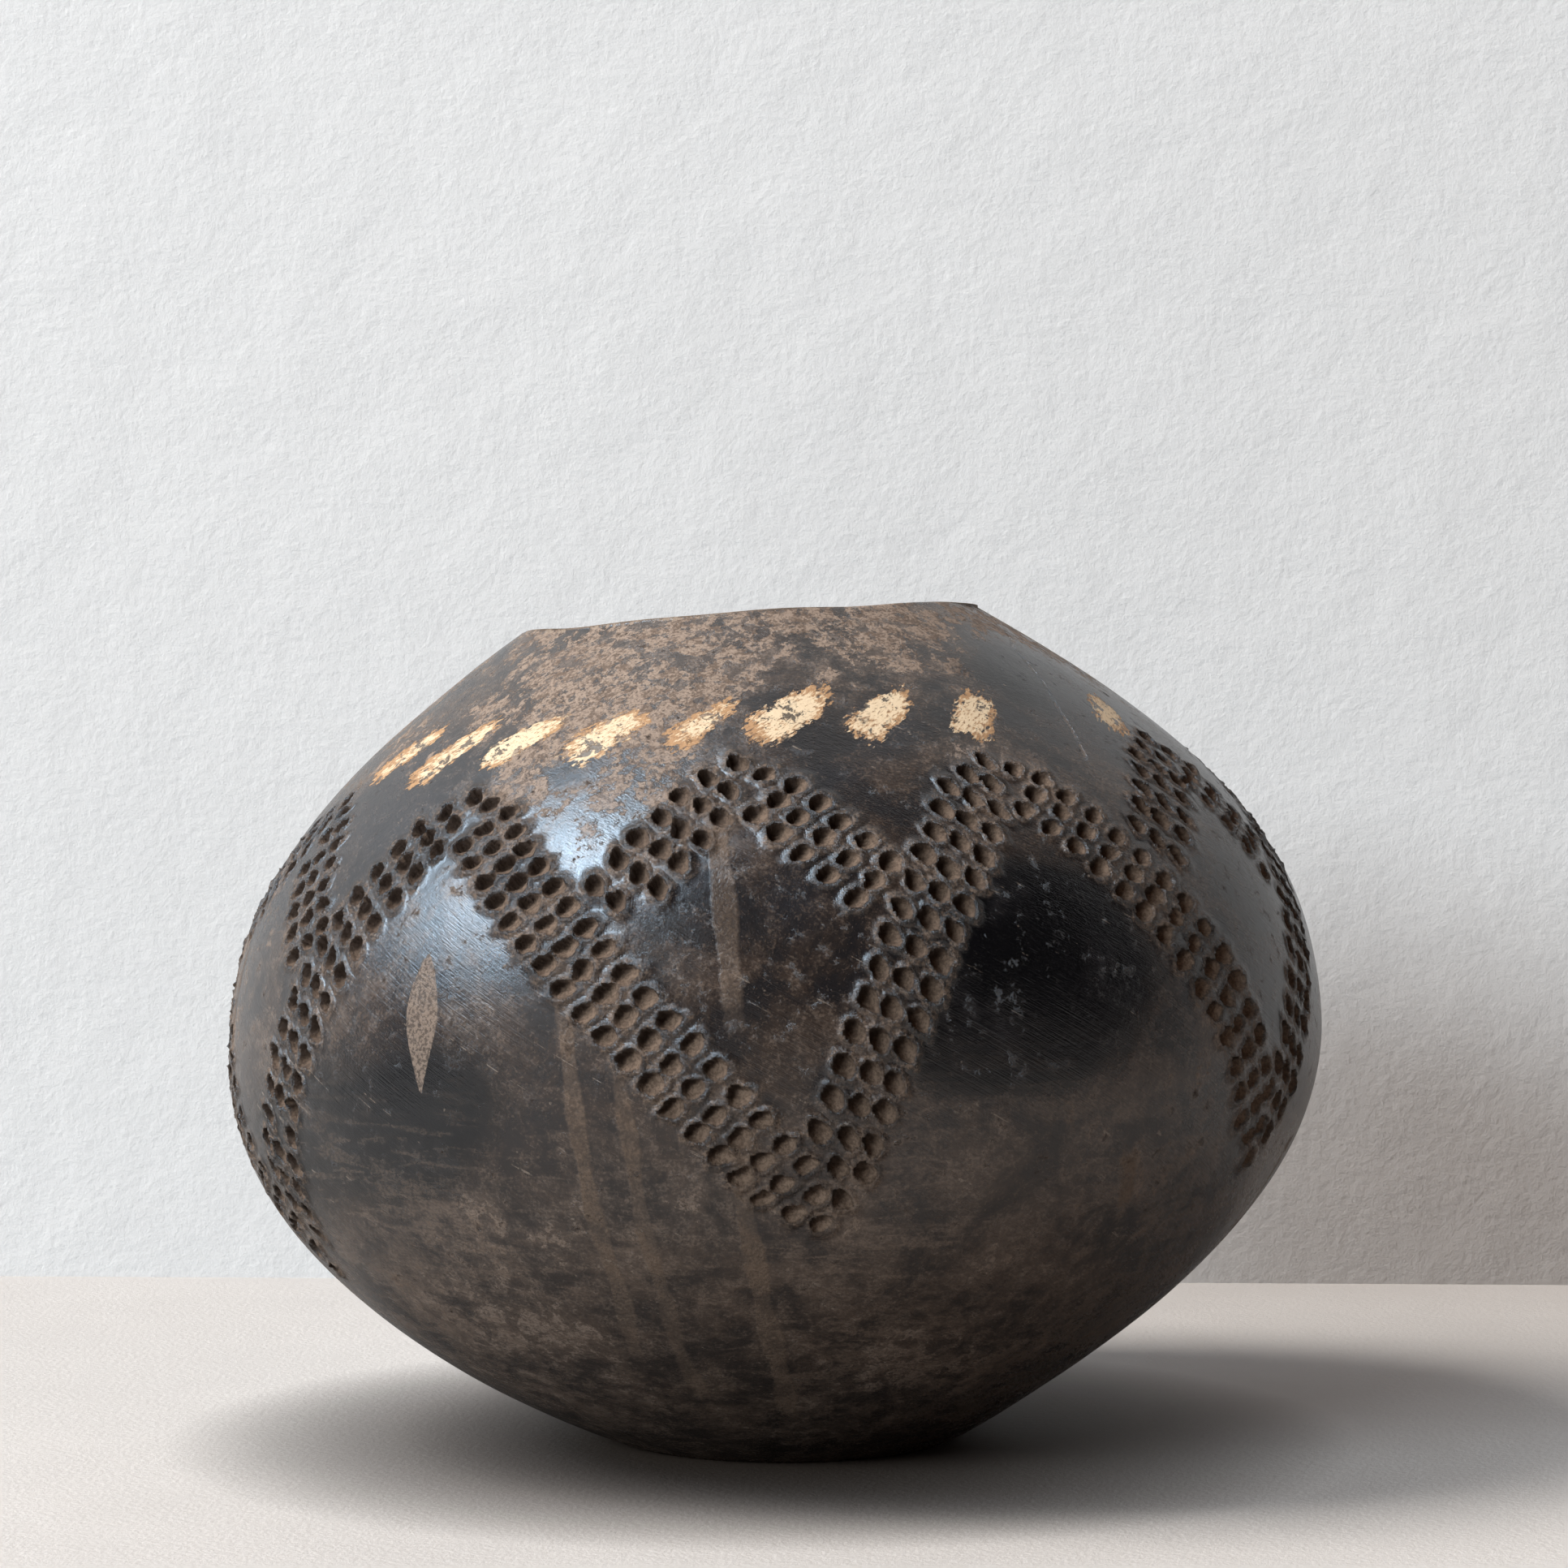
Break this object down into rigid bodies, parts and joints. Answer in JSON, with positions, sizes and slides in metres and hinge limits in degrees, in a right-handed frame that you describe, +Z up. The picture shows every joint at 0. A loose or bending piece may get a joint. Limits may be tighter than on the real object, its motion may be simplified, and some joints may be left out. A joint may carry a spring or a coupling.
{
  "type": "clay pot",
  "caption": "Round-bellied hand-coiled clay pot with a narrow level mouth, small flat foot and a zigzag band of stabbed marks round its shoulder.",
  "frame": {"origin": "centre of the flat foot, on the surface that the pot stands on", "axes": "+Z up out of the mouth, -Y towards the viewer of the picture, +X to the viewer's right, which is the side where the rim stands highest"},
  "size_m": [0.3399, 0.3396, 0.2603],
  "materials": {
    "scuffed_clay": "smoke-blackened earthenware, scuffed brown, satin",
    "burnished_clay": "burnished smoke-blackened earthenware, low sheen",
    "dusty_clay": "worn brown and dusty, matt"
  },
  "bodies": {
    "root": {"base_pad": "scuffed_clay", "lower_coil_1": "scuffed_clay", "lower_coil_2": "scuffed_clay", "lower_coil_3": "scuffed_clay", "belly_coil_1": "burnished_clay", "belly_coil_2": "burnished_clay", "shoulder_coil_1": "burnished_clay", "shoulder_coil_2": "burnished_clay", "shoulder_coil_3": "burnished_clay", "rim_coil": "dusty_clay"}
  },
  "joints": []
}
